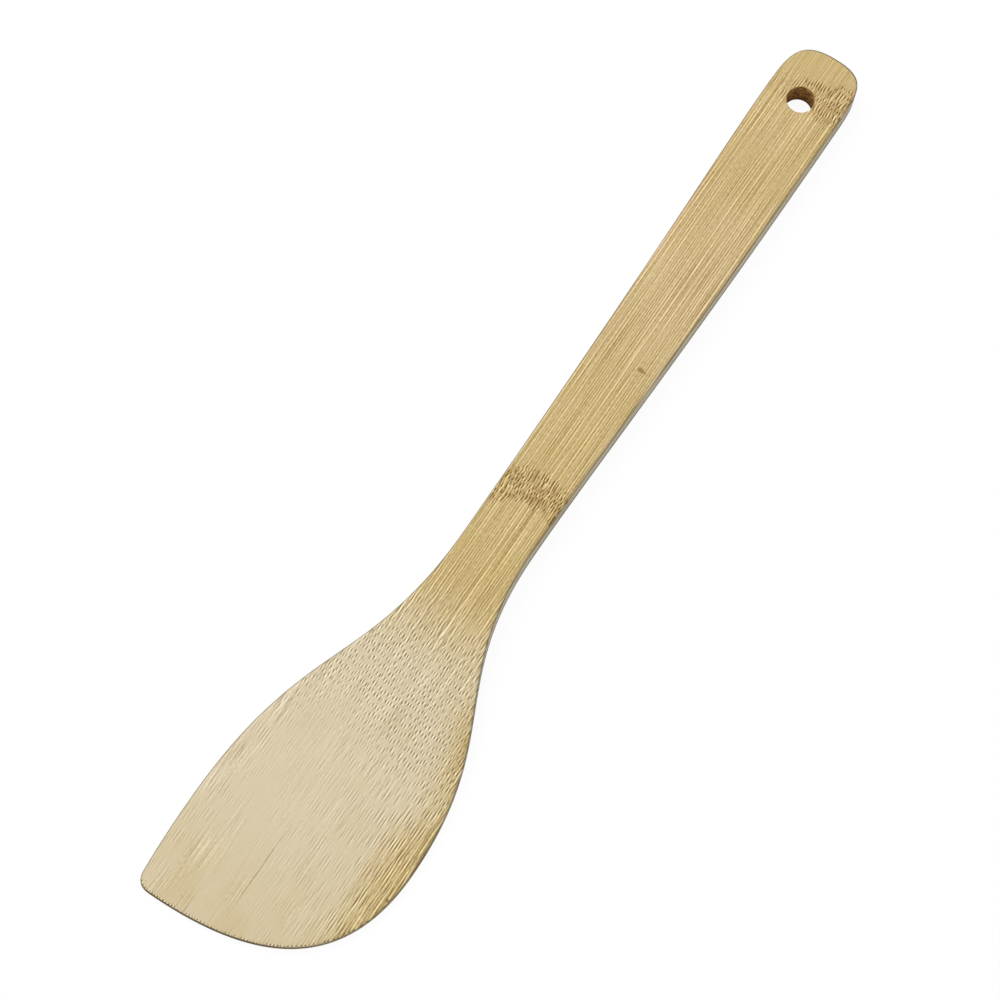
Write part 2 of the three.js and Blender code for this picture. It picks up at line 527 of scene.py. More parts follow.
# Outer wood: streaks, the rise of the culm's curved wall towards the right edge, the ragged border with the
# inner wood, and the fading of the gold with depth
STREAK_SIZE = (0.6, 45, 2)
STREAK_REACH = 12
CULM_CURVE = 2.2
CULM_EDGE = 27.2
CULM_EDGE_RISE = 4.6
CULM_RISE_DEPTH = (0.4, 3, 0, CULM_EDGE_RISE / CULM_EDGE**CULM_CURVE)
CULM_RISE_LOW = (-92, -108, 1, 1.65)
BORDER_SIZE = (1.5, 8, 3)
BORDER_REACH = 0.5
BORDER_WIDENING = 0.35
NECK_FADE = (-36, -51, 0, 0.4)
GOLD_DEPTH = (-0.1, 1.7, 1, 0)
PALER_DEPTH = (1.5, 4, 1, 0.82)

# How strongly the bundles show: more at the blade's two edges, less deep in the wall and close under the skin
NECK = (-23, -50, 0, 1)
RIGHT_EDGE = (16, 25)
RIGHT_EDGE_GAIN = (-85, -112, 1.9, 1.5)
LEFT_EDGE = (-12, -29, 0, 1.8)
DEPTH_LEAN = -0.045
NECK_DEEPER = 0.2
DEEP_FADE = (3.4, 6.5, 1, 0.07)
NECK_SKIN = 0.5
SKIN_FADE = (0, 0.8, 0.12, 1)
END_CALM = (137, 143, 1, 0.4)
END_GRAIN_FACING = (0.155, 0.28, 0, 1.2)
RING_GAIN = 1.8

# Fibre bundles: their spacing across the strip and through it, and how far each layer is shifted against the
# next. Then, as shares of the spacing, how far they stray, a core's flatness and rim, and the place of a
# light sheath to one side of each pore, which is partly light tissue and partly a painted highlight beside
# it.
# Last, how strong single bundles are, and the patches in which they come and go.
BUNDLE_SPACING = 0.86
BUNDLE_DEPTH = 0.44
BUNDLE_STAGGER = 0.5
BUNDLE_STRAY = 0.45
CORE_FLATNESS = 0.62
CORE_RIM = (0.09, 0.24, 1, 0)
SHEATH_AND_HIGHLIGHT_SHIFT = (-0.48, 0, 0)
BUNDLE_STRENGTHS = (0, 1, 0.75, 1)
BUNDLE_PATCH_SIZE = (4, 7, 4)
BUNDLE_PATCHES = (0.35, 0.6, 0.65, 1)

# Fibres of the outer and the inner wood, and specks where a fibre ends: size across and along, and strength.
# Real fibres are finer than the eye sees at arm's length, so these are drawn as coarse as they need to show.
OUTER_LINES = (0.32, 28, 0.75)
INNER_LINES = (0.4, 14, 0.42)
SPECKS = (0.3, 1.1, 0.55)

# Where the inner wood's lines show: in patches, more on the left and low on the blade, and with the bundles
CALM_SIZE = (5, 16, 5)
CALM_PATCHES = (0.44, 0.62, 0.04, 0.6)
LEFT_GAIN = (-14, -25, 1, 2.5)
LOW_GAIN = (-108, -135, 0, 0.7)
BUNDLE_LINES = 0.8

# Where the outer wood's lines show: close under the skin, more at the right edge and in a growth ring
SKIN_LINES = (0.2, 2.4, 0.7, 0)
EDGE_LINES = (17, 24, 1, 1.25)
RING_LINES = 0.3

# Specks on the inner wood: their share of the lines' strength, and the least strength
SPECK_SHARE = 0.3
LEAST_SPECKS = 0.08

# Rows of bundles just under the skin of the outer wood: spacing, strength, mean and stray, the patches in
# which they come and go, and what the neck adds to their strength
ROW_SPACING = 0.74
ROW_STRENGTH = 1.38
ROW_MEAN = 0.253
ROW_STRAY = 0.45
ROW_PATCH_SIZE = (1.6, 14, 4)
ROW_PATCHES = (0.35, 0.65, 0.5 * ROW_STRENGTH, 1.5 * ROW_STRENGTH)
NECK_ROWS = 0.2

# How much a sheath lightens the wood, partly as light tissue and partly as a painted highlight beside each
# pore, the darkest that a fibre gets, and how much a lighter or darker fibre changes red, green and blue:
# blue most, so light fibres are creamier
SHEATH_AND_HIGHLIGHT_GAIN = 0.6
DARKEST_FIBRE = -0.55
TONE_BALANCE = (0.85, 0.97, 1.35)
PLAIN_TONE = (1, 1, 1)

# Slow change of tint in clouds: the share of olive wood and how it changes along the strip, and how much gold
# the worn tip and the right half of the blade have
CLOUD_SIZE = (9, 22, 9)
OLIVE_CLOUDS = (0.35, 0.65, 0.6, 0.9)
OLIVE_CHANGES = ((5, 60, 0, -0.6), (80, 105, 0, 0.45))
WORN_CLOUDS = (0.35, 0.65, 0.6, 1.6)
WORN_TIP = (-115, -143, 0, 0.22)
RIGHT_HALF = (-6, 12, 0, 0.06)

# Brown of the growth rings, in a mottle
MOTTLE_SIZE = (2, 3, 2)
MOTTLES = (0.38, 0.62, 0.1, 0.55)

# Marks: a scar across the handle, a dark fibre on the blade and a nick at its edge, each with its middle and
# half width across, its start and end along, and its strength, then the fraying of their rims
MARKS = (
    (5.1, 2.5, 39.1, 40.9, 0.8),
    (-3.9, 0.26, -146, -113, 0.5),
    (28.4, 0.5, -117.7, -116.3, 0.9),
)
MARK_FRAY_SIZE = (0.7, 0.9, 1)
MARK_RIM = (0.8, 1.4)

# Edges, by the way that the surface faces: 0 is square to that way and 1 is straight along it. The low part
# of the walls, which takes painted shade, goes by height. Last, the shares of sawn wood, painted rim shade
# and end grain with painted shade on upright faces.
UPRIGHT_FACING = (0.3, 0.05)
END_FACING = (0.45, 0.8)
# Painted shade on faces that look down at the floor
UNDER_RISE = (-0.05, -0.4, 0, 0.8)
UNDER_FALL = (-0.7, -0.95, 1, 0)
# Painted shade along the rounded rims: where it rises and falls with the facing, and how much less it is on
# the right
RIM_SHADE_RISE = (0.9, 0.55, 0, 0.85)
RIM_SHADE_SIDE = (0, 0.5, 1, 0.65)
# Painted shade on the rims that face the handle's end
FAR_RIM = (0.2, 0.5, 0, 0.85)
# Painted shade on the low part of the sides, next to the floor
LOW_WALL_SHADE = (3.6, 2.4, 0, 0.75)
WALL_SHARE = 0.45
# Share of the painted rim shade that reaches the upright sides
WALL_RIM_SHADE = 0.15
# Dark on the end rims: partly end grain, partly painted shade
END_GRAIN_AND_SHADE_SHARE = 0.9
END_WALL_SHARE = 0.3

# Scorched wood of the bore: its depth behind the bore's surface, its streaks, and the burnt back
SCORCH_START = 0.02
SCORCH_END = 0.14
BORE_STREAK_SIZE = (1.2, 1.2, 0.7)
BORE_STREAKS = (0.35, 0.65)
BORE_BACK = (0.3, 2, 0, 1)

# Sanded fibres are satin to the eye, and the charred bore is matt.
SATIN_ROUGHNESS = 0.6
CHARRED_ROUGHNESS = 0.95
BAMBOO_SPECULAR = 0.3

# What the patterns read: where a point of the strip lies, and the ways that its surface faces
Place = namedtuple("Place", "spot across along height depth normal facing_along facing_front")


def add_node(tree, kind, settings=None, inputs=()):
    """Adds a node, sets its properties, and fills or links its inputs, given by name or in their order."""
    node = tree.nodes.new(kind)
    for name, value in (settings or {}).items():
        setattr(node, name, value)
    pairs = inputs.items() if isinstance(inputs, dict) else enumerate(inputs)
    for name, value in pairs:
        if isinstance(value, bpy.types.Node):
            tree.links.new(value.outputs[0], node.inputs[name])
        elif isinstance(value, bpy.types.NodeSocket):
            tree.links.new(value, node.inputs[name])
        else:
            node.inputs[name].default_value = value
    return node


def patches(add, place, size, detail, settings=None):
    """Soft random patches of the given size."""
    scaled = add(VECTOR, TIMES, (place, [1 / part for part in size]))
    return add(NOISE, settings, {"Vector": scaled, "Scale": 1, "Detail": detail})


def painted(add, ground, layers):
    """The ground's colour with other colours over it, one after another, each by its share."""
    for share, layer in layers:
        mix = add(MIX, BLEND, {MIX_SHARE: share, MIX_UNDER: ground, MIX_OVER: layer})
        ground = mix.outputs[MIXED]
    return ground


def strip_place(add, section):
    """Where a point of the strip lies, in millimetres, and the ways that its surface faces."""
    coordinates = add(COORDINATES)
    spot = add(VECTOR, SCALED, {"Vector": coordinates.outputs["Object"], "Scale": 1 / MM})
    across, along, height = add(SPLIT, {}, (spot,)).outputs
    depth = add(MATH, MINUS, (section.handle_thickness / MM, height))
    normal = add(SPLIT, {}, (coordinates.outputs["Normal"],)).outputs
    facing_along = add(MATH, UNSIGNED, (normal["Y"],))
    facing_front = add(MATH, UNSIGNED, (normal["Z"],))
    return Place(spot, across, along, height, depth, normal, facing_along, facing_front)


def growth_rings(add, at):
    """Share of growth ring, and how far its bundles dive: two bands with ragged edges, which bow and lean."""
    fray = patches(add, at.spot, RING_FRAY_SIZE, 2)
    frayed_along = add(MATH, TIMES_PLUS, (fray, RING_FRAY, at.along))
    square = add(MATH, TIMES, (at.across, at.across))
    bands = []
    dives = []
    for centre, lean, bow, half, narrowing, left_strength, right_strength in RINGS:
        leaning = add(MATH, TIMES_PLUS, (at.across, -lean, frayed_along))
        bowed = add(MATH, TIMES_PLUS, (square, bow, leaning))
        away = add(MATH, MINUS, (bowed, centre + RING_FRAY * NOISE_MEAN))
        span = add(MATH, UNSIGNED, (away,))
        inset = add(MATH, TIMES_PLUS, (at.across, narrowing, span))
        strength = add(RANGE, EASED, (at.across, *RING_SIDES, left_strength, right_strength))
        band = add(RANGE, EASED, (inset, half - RING_SOFTNESS, half + RING_SOFTNESS, strength, 0))
        bands.append(band)
        dives.append(add(MATH, TIMES, (away, band)))
    return add(MATH, PLUS, bands), add(MATH, PLUS, dives)


def fibre_course(add, at, neck, ring, dive):
    """The place that each bundle has come from: they slant a little, wander, and dive in a growth ring."""
    slow = patches(add, at.spot, WANDER_SIZE, 1)
    slow_shift = add(VECTOR, MINUS, (slow.outputs["Color"], NOISE_MIDDLE))
    wander = add(VECTOR, TIMES_PLUS, (slow_shift, WANDER_REACH, at.spot))
    quick = patches(add, at.spot, TWIST_SIZE, 0)
    quick_shift = add(VECTOR, MINUS, (quick.outputs["Color"], NOISE_MIDDLE))
    twist = add(VECTOR, TIMES, (quick_shift, TWIST_REACH))
    ring_twist = add(VECTOR, SCALED, {"Vector": twist, "Scale": ring})
    twisted = add(VECTOR, PLUS, (wander, ring_twist))
    ring_along = add(MATH, TIMES_PLUS, (dive, RING_DIVE, at.along))
    neck_along = add(MATH, TIMES_PLUS, (neck, NECK_DIVE, ring_along))
    slant = add(VECTOR, SCALED, {"Vector": FIBRE_SLANT, "Scale": neck_along})
    return add(VECTOR, PLUS, (twisted, slant))


def outer_wood(add, at):
    """Share of golden outer wood: on the handle, and where the culm's wall curves away at the right edge."""
    streaks = patches(add, at.spot, STREAK_SIZE, 1)
    streak_shift = add(MATH, MINUS, (streaks, NOISE_MEAN))
    streaky_across = add(MATH, TIMES_PLUS, (streak_shift, STREAK_REACH, at.across))
    right = add(MATH, LARGER, (streaky_across, 0))
    curved = add(MATH, POWER, (right, CULM_CURVE))
    rise_share = add(RANGE, EASED, (at.depth, *CULM_RISE_DEPTH))
    rise_low = add(RANGE, EASED, (at.along, *CULM_RISE_LOW))
    curved_low = add(MATH, TIMES, (curved, rise_low))
    rise = add(MATH, TIMES, (curved_low, rise_share))
    culm_depth = add(MATH, MINUS, (at.depth, rise))
    border = patches(add, at.spot, BORDER_SIZE, 2)
    neck_fade = add(RANGE, EASED, (at.along, *NECK_FADE))
    faded_depth = add(MATH, PLUS, (culm_depth, neck_fade))
    ragged_depth = add(MATH, TIMES_PLUS, (border, BORDER_REACH, faded_depth))
    widening = add(MATH, TIMES_PLUS, (at.depth, BORDER_WIDENING, 1))
    widened_depth = add(MATH, DIVIDED, (ragged_depth, widening))
    gold = add(RANGE, EASED, (widened_depth, *GOLD_DEPTH))
    paler = add(RANGE, EASED, (at.depth, *PALER_DEPTH))
    return add(MATH, TIMES, (gold, paler))


def bundle_showing(add, at, neck, end_calm):
    """How strongly the bundles show: plain on the handle, strongest on the scoop, faint on the low blade."""
    right_gain = add(RANGE, EASED, (at.along, *RIGHT_EDGE_GAIN))
    right_edge = add(RANGE, EASED, (at.across, *RIGHT_EDGE, 0, right_gain))
    left_edge = add(RANGE, EASED, (at.across, *LEFT_EDGE))
    edges = add(MATH, PLUS, (right_edge, left_edge))
    leaning_depth = add(MATH, TIMES_PLUS, (at.across, DEPTH_LEAN, at.depth))
    neck_depth = add(MATH, TIMES_PLUS, (neck, NECK_DEEPER, leaning_depth))
    bundle_depth = add(MATH, MINUS, (neck_depth, edges))
    deep_fade = add(RANGE, EASED, (bundle_depth, *DEEP_FADE))
    skin_depth = add(MATH, TIMES_PLUS, (neck, NECK_SKIN, at.depth))
    skin_fade = add(RANGE, EASED, (skin_depth, *SKIN_FADE))
    showing = add(MATH, TIMES, (deep_fade, skin_fade))
    return add(MATH, TIMES, (showing, end_calm))


def bundle_cores(add, place):
    """Share of each bundle's core, drawn out through the thickness, and a random colour for each bundle."""
    cells = add(CELLS, FLAT_CELLS, {"Vector": place, "Scale": 1, "Randomness": BUNDLE_STRAY})
    away = add(VECTOR, MINUS, (place, cells.outputs["Position"]))
    aside, below = add(SPLIT, {}, (away,)).outputs[:2]
    level_aside = add(MATH, TIMES_PLUS, (below, -BUNDLE_STAGGER, aside))
    drawn_out = add(MATH, TIMES, (below, CORE_FLATNESS))
    corner = add(JOIN, {}, (level_aside, drawn_out))
    reach = add(VECTOR, LENGTH, (corner,))
    core = add(RANGE, EASED, (reach.outputs["Value"], *CORE_RIM))
    return core, cells.outputs["Color"]


def bundle_marks(add, at, fibre, ring, showing):
    """Shares of dark pore and light sheath, the sheath partly a painted highlight beside each pore: bundles
    run along the strip, in places set across and deep.
    """
    end_grain = add(RANGE, EASED, (at.facing_along, *END_GRAIN_FACING))
    ring_gain = add(MATH, TIMES, (ring, RING_GAIN))
    plain = add(MATH, LARGER, (ring_gain, end_grain))
    showing_plain = add(MATH, PLUS, (plain, showing))
    patch = patches(add, fibre, BUNDLE_PATCH_SIZE, 1)
    patch_share = add(RANGE, EASED, (patch, *BUNDLE_PATCHES))
    patch_plain = add(MATH, LARGER, (patch_share, plain))
    showing_patch = add(MATH, TIMES, (patch_plain, showing_plain))

    course = add(SPLIT, {}, (fibre,)).outputs
    column = add(MATH, TIMES, (course["X"], 1 / BUNDLE_SPACING))
    layer = add(MATH, TIMES, (course["Z"], 1 / BUNDLE_DEPTH))
    staggered = add(MATH, TIMES_PLUS, (layer, BUNDLE_STAGGER, column))
    pore_place = add(JOIN, {}, (staggered, layer))
    # The light sheath lies to one side of each pore: partly light tissue, partly a painted highlight
    sheath_and_highlight_place = add(VECTOR, PLUS, (pore_place, SHEATH_AND_HIGHLIGHT_SHIFT))
    shares = []
    for place in (pore_place, sheath_and_highlight_place):
        core, lot = bundle_cores(add, place)
        lot_number = add(SPLIT, {}, (lot,))
        strength = add(RANGE, {}, (lot_number, *BUNDLE_STRENGTHS))
        varied = add(MATH, TIMES, (core, strength))
        shares.append(add(MATH, CLAMPED_TIMES, (varied, showing_patch)))
    return shares


def line_reaches(add, at, ring, outer, showing, end_calm):
    """How strongly the lines of the inner wood and of the outer wood show."""
    calm = patches(add, at.spot, CALM_SIZE, 2)
    calm_share = add(RANGE, EASED, (calm, *CALM_PATCHES))
    left_gain = add(RANGE, EASED, (at.across, *LEFT_GAIN))
    low_gain = add(RANGE, EASED, (at.along, *LOW_GAIN))
    calm_gain = add(MATH, PLUS, (left_gain, low_gain))
    calm_lines = add(MATH, TIMES, (calm_share, calm_gain))
    inner_reach = add(MATH, TIMES_PLUS, (showing, BUNDLE_LINES, calm_lines))
    outer_calm = add(MATH, TIMES, (outer, end_calm))
    skin = add(RANGE, EASED, (at.depth, *SKIN_LINES))
    skin_calm = add(MATH, TIMES, (skin, end_calm))
    lined = add(MATH, LARGER, (outer_calm, skin_calm))
    edge_lines = add(RANGE, EASED, (at.across, *EDGE_LINES))
    edge_lined = add(MATH, TIMES, (lined, edge_lines))
    outer_reach = add(MATH, TIMES_PLUS, (ring, RING_LINES, edge_lined))
    return inner_reach, outer_reach


def fibre_lines(add, fibre, inner_reach, outer_reach):
    """Lightness of the fibres: fine lines, and short specks where a sanded fibre ends."""
    inner_specks = add(MATH, TIMES_PLUS, (inner_reach, SPECK_SHARE, LEAST_SPECKS))
    speck_reach = add(MATH, LARGER, (inner_specks, outer_reach))
    lightness = None
    layers = ((INNER_LINES, inner_reach), (OUTER_LINES, outer_reach), (SPECKS, speck_reach))
    for (across_size, along_size, strength), reach in layers:
        noise = patches(add, fibre, (across_size, along_size, 1), 0, FLAT_NOISE)
        even = add(MATH, MINUS, (noise, NOISE_MEAN))
        strong = add(MATH, TIMES, (even, strength))
        layer = add(MATH, TIMES, (strong, reach))
        lightness = layer if lightness is None else add(MATH, PLUS, (lightness, layer))
    return lightness


def outer_rows(add, fibre, neck, outer_reach):
    """Lightness of the rows of bundles under the skin: fine lines at an even spacing, which come and go."""
    row_gain = add(MATH, TIMES_PLUS, (neck, NECK_ROWS, 1))
    reach = add(MATH, TIMES, (outer_reach, row_gain))
    fibre_across = add(SPLIT, {}, (fibre,)).outputs["X"]
    row = add(MATH, TIMES, (fibre_across, 1 / ROW_SPACING))
    rows = add(CELLS, LINE_CELLS, {"W": row, "Scale": 1, "Randomness": ROW_STRAY})
    patch = patches(add, fibre, ROW_PATCH_SIZE, 1)
    patch_share = add(RANGE, EASED, (patch, *ROW_PATCHES))
    even = add(MATH, MINUS, (rows, ROW_MEAN))
    patchy = add(MATH, TIMES, (even, patch_share))
    return add(MATH, TIMES, (patchy, reach))


def wood_ground(add, look, at, outer):
    """Colour of the wood under its fibres: golden or olive outside and pale inside, with slow clouds."""
    cloud = patches(add, at.spot, CLOUD_SIZE, 2)
    olive_share = add(RANGE, EASED, (cloud, *OLIVE_CLOUDS))
    for change in OLIVE_CHANGES:
        changed = add(RANGE, EASED, (at.along, *change))
        olive_share = add(MATH, CLAMPED_PLUS, (olive_share, changed))
    outer_colour = painted(add, look.outer_colour, [(olive_share, look.olive_colour)])
    worn_tip = add(RANGE, EASED, (at.along, *WORN_TIP))
    right_half = add(RANGE, EASED, (at.across, *RIGHT_HALF))
    worn = add(MATH, PLUS, (worn_tip, right_half))
    worn_cloud = add(RANGE, EASED, (cloud, *WORN_CLOUDS))
    worn_patch = add(MATH, TIMES, (worn, worn_cloud))
    golden = add(MATH, LARGER, (worn_patch, outer))
    return painted(add, look.inner_colour, [(golden, outer_colour)])


def ring_brown(add, at, ring):
    """Share of brown in the growth rings."""
    mottle = patches(add, at.spot, MOTTLE_SIZE, 2)
    mottle_share = add(RANGE, EASED, (mottle, *MOTTLES))
    return add(MATH, TIMES, (ring, mottle_share))


def mark_brown(add, at):
    """Share of brown in the marks: each is an oval with a frayed rim."""
    fray = patches(add, at.spot, MARK_FRAY_SIZE, 1)
    marked = None
    for middle, half, start, end, strength in MARKS:
        aside = add(MATH, MINUS, (at.across, middle))
        aside_share = add(MATH, DIVIDED, (aside, half))
        beyond = add(MATH, MINUS, (at.along, (start + end) / 2))
        beyond_share = add(MATH, DIVIDED, (beyond, (end - start) / 2))
        corner = add(JOIN, {}, (aside_share, beyond_share))
        reach = add(VECTOR, LENGTH, (corner,))
        frayed = add(MATH, PLUS, (reach.outputs["Value"], fray))
        mark = add(RANGE, EASED, (frayed, *MARK_RIM, strength, 0))
        marked = mark if marked is None else add(MATH, LARGER, (marked, mark))
    return marked


def edge_layers(add, look, at):
    """Colours of the edges, each with its share, from the lowest up: painted shade on the rims, sawn sides,
    painted shade on the low sides and on faces that look down, and end grain that is partly painted shade.
    """
    # Painted shade on faces that look down at the floor, in the dark end-grain colour
    under_rise = add(RANGE, EASED, (at.normal["Z"], *UNDER_RISE))
    under_fall = add(RANGE, EASED, (at.normal["Z"], *UNDER_FALL))
    under_shade_share = add(MATH, TIMES, (under_rise, under_fall))
    # Painted shade along the rounded rims, stronger on the left, and a little on the sides
    rim_shade_rise = add(RANGE, EASED, (at.facing_front, *RIM_SHADE_RISE))
    rim_shade_fall = add(RANGE, EASED, (at.facing_front, *UPRIGHT_FACING, 1, WALL_RIM_SHADE))
    rim_shade_side = add(RANGE, EASED, (at.normal["X"], *RIM_SHADE_SIDE))
    rim_shade_band = add(MATH, TIMES, (rim_shade_rise, rim_shade_fall))
    rim_shade_share = add(MATH, TIMES, (rim_shade_band, rim_shade_side))
    wall_share = add(RANGE, EASED, (at.facing_front, *UPRIGHT_FACING, 0, WALL_SHARE))
    upright = add(RANGE, EASED, (at.facing_front, *UPRIGHT_FACING, 0, 1))
    # Painted shade on the low part of the upright sides, next to the floor, in the dark end-grain colour
    low_wall_shade = add(RANGE, EASED, (at.height, *LOW_WALL_SHADE))
    low_shade_share = add(MATH, TIMES, (low_wall_shade, upright))
    # Painted shade on the rims that face the handle's end, in the same dark colour as the rim shade
    far_share = add(RANGE, EASED, (at.normal["Y"], *FAR_RIM))
    # Dark end rims: partly end grain, partly painted shade
    end_share = add(RANGE, EASED, (at.facing_along, *END_FACING, 0, END_GRAIN_AND_SHADE_SHARE))

    # The upright end faces stay paler than their rims, so that the ends of the bundles show on them as dots.
    end_face = add(RANGE, EASED, (at.facing_along, *END_FACING, 0, 1))
    end_wall = add(MATH, TIMES, (end_face, upright))
    off_wall = add(RANGE, {}, (end_wall, 0, 1, 1, END_WALL_SHARE))
    shares = (far_share, low_shade_share, end_share)
    far_rim, low_side_shade, end_rim = [add(MATH, TIMES, (share, off_wall)) for share in shares]
    return (
        (far_rim, look.rim_shade_colour),
        (rim_shade_share, look.rim_shade_colour),
        (wall_share, look.wall_colour),
        (low_side_shade, look.end_grain_and_shade_colour),
        (under_shade_share, look.end_grain_and_shade_colour),
        (end_rim, look.end_grain_and_shade_colour),
    )


def burnt_bore(add, look, section, at):
    """Share of wood that the drill has scorched, and its colour: streaky, and darkest at the back."""
    centre = (hole_centre.x / MM, hole_centre.y / MM, 0)
    from_bore = add(VECTOR, MINUS, (at.spot, centre))
    flat = add(VECTOR, TIMES, (from_bore, (1, 1, 0)))
    radius = add(VECTOR, LENGTH, (flat,))
    bore = section.hole_diameter / 2 / MM
    scorch = add(RANGE, EASED, (radius.outputs["Value"], bore + SCORCH_START, bore + SCORCH_END, 1, 0))
    streaks = patches(add, at.spot, BORE_STREAK_SIZE, 2)
    back = add(RANGE, EASED, (at.height, *BORE_BACK))
    streak_share = add(RANGE, EASED, (streaks, *BORE_STREAKS, 0, back))
    return scorch, painted(add, look.burnt_colour, [(streak_share, look.scorched_colour)])


def sanded_bamboo(look, section):
    """Sanded culm bamboo: a solid pattern of fibre bundles that run along the strip.

    A face cut along the bundles shows long lines, a slanting cut such as the scoop shows short dashes,
    and end grain shows dots. Under the culm's skin the wood is golden and dense, deeper it is pale and even.
    """
    material = bpy.data.materials.new("sanded culm bamboo")
    material.use_nodes = True
    tree = material.node_tree
    tree.nodes.clear()
    add = functools.partial(add_node, tree)
    at = strip_place(add, section)

    # Where the fibres run, and how strongly they show
    ring, dive = growth_rings(add, at)
    neck = add(RANGE, EASED, (at.along, *NECK))
    end_calm = add(RANGE, EASED, (at.along, *END_CALM))
    fibre = fibre_course(add, at, neck, ring, dive)
    outer = outer_wood(add, at)
    showing = bundle_showing(add, at, neck, end_calm)
    pore_share, sheath_and_highlight_share = bundle_marks(add, at, fibre, ring, showing)
    inner_reach, outer_reach = line_reaches(add, at, ring, outer, showing, end_calm)

    # Light and dark fibres
    lines = fibre_lines(add, fibre, inner_reach, outer_reach)
    rows = outer_rows(add, fibre, neck, outer_reach)
    rowed = add(MATH, PLUS, (lines, rows))
    # The sheath lightens the wood beside each pore: partly light tissue, partly a painted highlight
    lightness = add(MATH, TIMES_PLUS, (sheath_and_highlight_share, SHEATH_AND_HIGHLIGHT_GAIN, rowed))
    lightness_kept = add(MATH, LARGER, (lightness, DARKEST_FIBRE))
    tone = add(VECTOR, TIMES_PLUS, (lightness_kept, TONE_BALANCE, PLAIN_TONE))
    toned = add(VECTOR, TIMES, (wood_ground(add, look, at, outer), tone))

    # Colours over the toned wood, from the lowest up
    scorch, burnt_colour = burnt_bore(add, look, section, at)
    layers = (
        (ring_brown(add, at, ring), look.ring_colour),
        (pore_share, look.pore_colour),
        (mark_brown(add, at), look.mark_colour),
        *edge_layers(add, look, at),
        (scorch, burnt_colour),
    )
    roughness = add(RANGE, {}, (scorch, 0, 1, SATIN_ROUGHNESS, CHARRED_ROUGHNESS))
    finish = {
        "Base Color": painted(add, toned, layers),
        "Roughness": roughness,
        "Specular IOR Level": BAMBOO_SPECULAR,
    }
    shader = add("ShaderNodeBsdfPrincipled", {}, finish)
    add("ShaderNodeOutputMaterial", {}, {"Surface": shader})
    return material


def seen_directly(tree):
    """One where the camera, a reflection or a clear material looks at the surface, and otherwise zero."""
    path = add_node(tree, "ShaderNodeLightPath").outputs
    sharp = add_node(tree, MATH, LARGER, (path["Is Glossy Ray"], path["Is Transmission Ray"]))
    return add_node(tree, MATH, LARGER, (path["Is Camera Ray"], sharp))


def studio_paper(stage):
    """Matt white studio paper: bright to the eye, with the strip's soft shadow, and a mild reflector."""
    material = bpy.data.materials.new("matt white studio paper")
    material.use_nodes = True
    tree = material.node_tree
    tree.nodes.clear()
    paper = add_node(tree, DIFFUSE, {}, {"Color": stage.bounce_colour})
    shaded = add_node(tree, DIFFUSE, {}, {"Color": stage.shade_colour})
    glow_look = {"Color": stage.floor_colour, "Strength": stage.floor_glow}
    glow = add_node(tree, "ShaderNodeEmission", {}, glow_look)
    bright = add_node(tree, "ShaderNodeAddShader", {}, (shaded, glow))
    mixed = add_node(tree, MIX_SHADERS, {}, (seen_directly(tree), paper, bright))
    add_node(tree, "ShaderNodeOutputMaterial", {}, {"Surface": mixed})
    return material


# Operators, one for the strip and one for the stage

# Half the floor's side in metres, and how far it lies under the strip
FLOOR_HALF_SIDE = 4
FLOOR_DROP = 0.1 * MM

# Place of the lamp in metres, over the strip's left, and strength of the sky where it is seen as plain white
LAMP_PLACE = Vector((-0.9, 0.35, 1.5))
WHITE_STRENGTH = 1.0

# Where the camera looks, on the plane of the handle's front
CAMERA_AIM = Vector((-6.67 * MM, -12.14 * MM, strip_high.z))
CAMERA_SENSOR = 36
CAMERA_NEAR = 10 * MM


class TURNER_OT_carve_strip(bpy.types.Operator):
    """Carves the strip: outline, rounded rims, scooped front and drilled hole, in sanded bamboo"""

    bl_idname = "turner.carve_strip"
    bl_label = "Carve the strip"

    def execute(self, context):
        scene = context.scene
        section = scene.turner_section
        square_reach = section.hole_diameter * HOLE_SQUARE_SHARE
        mesh = bmesh.new()
        prism_from_outline(mesh, scene.turner_outline, section)
        cross_cuts(mesh, square_reach)
        drill_hole(mesh, section, square_reach)
        scoop_front(mesh, section)
        bmesh.ops.recalc_face_normals(mesh, faces=mesh.faces[:])
        for face in mesh.faces:
            face.smooth = True
        strip = finished_piece(mesh, "bamboo_strip", scene)
        strip.data.materials.append(sanded_bamboo(scene.turner_look, section))
        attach(strip, "root")
        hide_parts("turner")
        return {"FINISHED"}


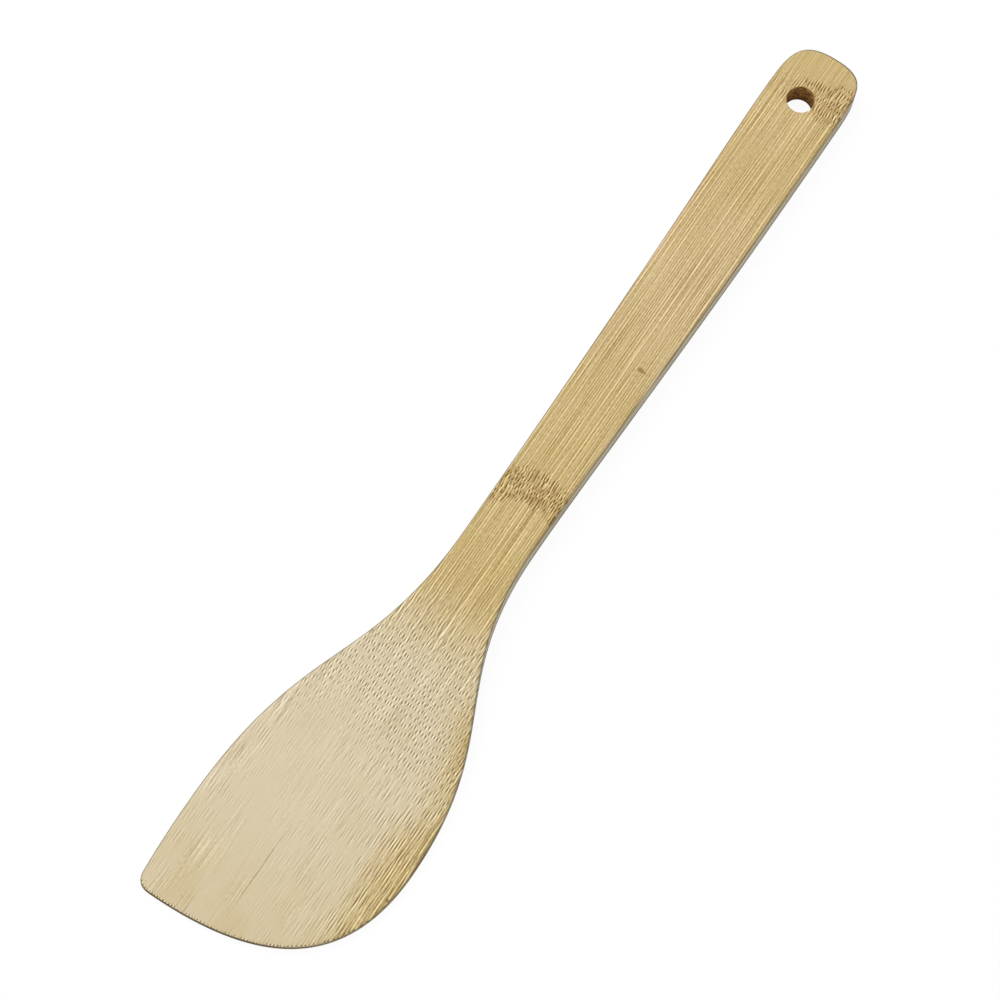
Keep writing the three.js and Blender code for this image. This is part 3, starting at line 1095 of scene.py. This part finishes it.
class TURNER_OT_set_stage(bpy.types.Operator):
    """Sets the plain floor, the soft studio light and the camera"""

    bl_idname = "turner.set_stage"
    bl_label = "Set the stage"

    def execute(self, context):
        scene = context.scene
        stage = scene.turner_stage
        scene.view_settings.view_transform = "Standard"
        self.lay_floor(scene, stage)
        self.light_world(scene, stage)
        self.hang_lamp(scene, stage)
        self.place_camera(scene, stage)
        return {"FINISHED"}

    def lay_floor(self, scene, stage):
        mesh = bmesh.new()
        bmesh.ops.create_grid(mesh, x_segments=2, y_segments=2, size=FLOOR_HALF_SIDE)
        bmesh.ops.translate(mesh, verts=mesh.verts[:], vec=(0, 0, -FLOOR_DROP))
        floor = finished_piece(mesh, "floor", scene)
        floor.data.materials.append(studio_paper(stage))

    def light_world(self, scene, stage):
        world = bpy.data.worlds.new("studio")
        world.use_nodes = True
        scene.world = world
        tree = world.node_tree
        tree.nodes.clear()
        sky_look = {"Color": stage.sky_colour, "Strength": stage.sky_strength}
        white_look = {"Color": stage.sky_colour, "Strength": WHITE_STRENGTH}
        sky = add_node(tree, BACKGROUND, {}, sky_look)
        white = add_node(tree, BACKGROUND, {}, white_look)
        mixed = add_node(tree, MIX_SHADERS, {}, (seen_directly(tree), sky, white))
        add_node(tree, "ShaderNodeOutputWorld", {}, {"Surface": mixed})

    def hang_lamp(self, scene, stage):
        lamp_data = bpy.data.lights.new("soft lamp", "AREA")
        lamp_data.shape = "SQUARE"
        lamp_data.size = stage.lamp_size
        lamp_data.energy = stage.lamp_power
        lamp = bpy.data.objects.new("soft lamp", lamp_data)
        scene.collection.objects.link(lamp)
        lamp.location = LAMP_PLACE
        lamp.rotation_euler = (-LAMP_PLACE).to_track_quat("-Z", "Y").to_euler()

    def place_camera(self, scene, stage):
        tilt = stage.camera_tilt
        heading = stage.camera_heading
        ahead = Vector((-math.sin(heading), math.cos(heading), 0))
        looking = ahead * math.sin(tilt) - Vector((0, 0, math.cos(tilt)))
        camera_data = bpy.data.cameras.new("camera")
        camera_data.sensor_width = CAMERA_SENSOR
        camera_data.lens = stage.camera_lens
        camera_data.clip_start = CAMERA_NEAR
        camera = bpy.data.objects.new("camera", camera_data)
        scene.collection.objects.link(camera)
        camera.location = CAMERA_AIM - looking * stage.camera_distance
        camera.rotation_euler = (tilt, 0, heading)
        scene.camera = camera


class TURNER_PT_sidebar(bpy.types.Panel):
    """Lists the turner's making steps, then its sizes and colours"""

    bl_label = "Bamboo turner"
    bl_space_type = "VIEW_3D"
    bl_region_type = "UI"
    bl_category = "Turner"

    def draw(self, context):
        for step in OPERATORS:
            self.layout.operator(step.bl_idname)
        for name, group in GROUPS.items():
            box = self.layout.box()
            for setting in group.__annotations__:
                box.prop(getattr(context.scene, name), setting)


GROUPS = {
    "turner_outline": TurnerOutline,
    "turner_section": TurnerSection,
    "turner_look": BambooLook,
    "turner_stage": StudioStage,
}
OPERATORS = (TURNER_OT_set_stage, TURNER_OT_carve_strip)
CLASSES = (*GROUPS.values(), *OPERATORS, TURNER_PT_sidebar)


def register():
    for item in CLASSES:
        bpy.utils.register_class(item)
    for name, group in GROUPS.items():
        setattr(bpy.types.Scene, name, bpy.props.PointerProperty(type=group))


def unregister():
    for name in GROUPS:
        delattr(bpy.types.Scene, name)
    for item in reversed(CLASSES):
        bpy.utils.unregister_class(item)


def main():
    register()
    bpy.ops.turner.set_stage()
    bpy.ops.turner.carve_strip()


if __name__ == "__main__":
    main()
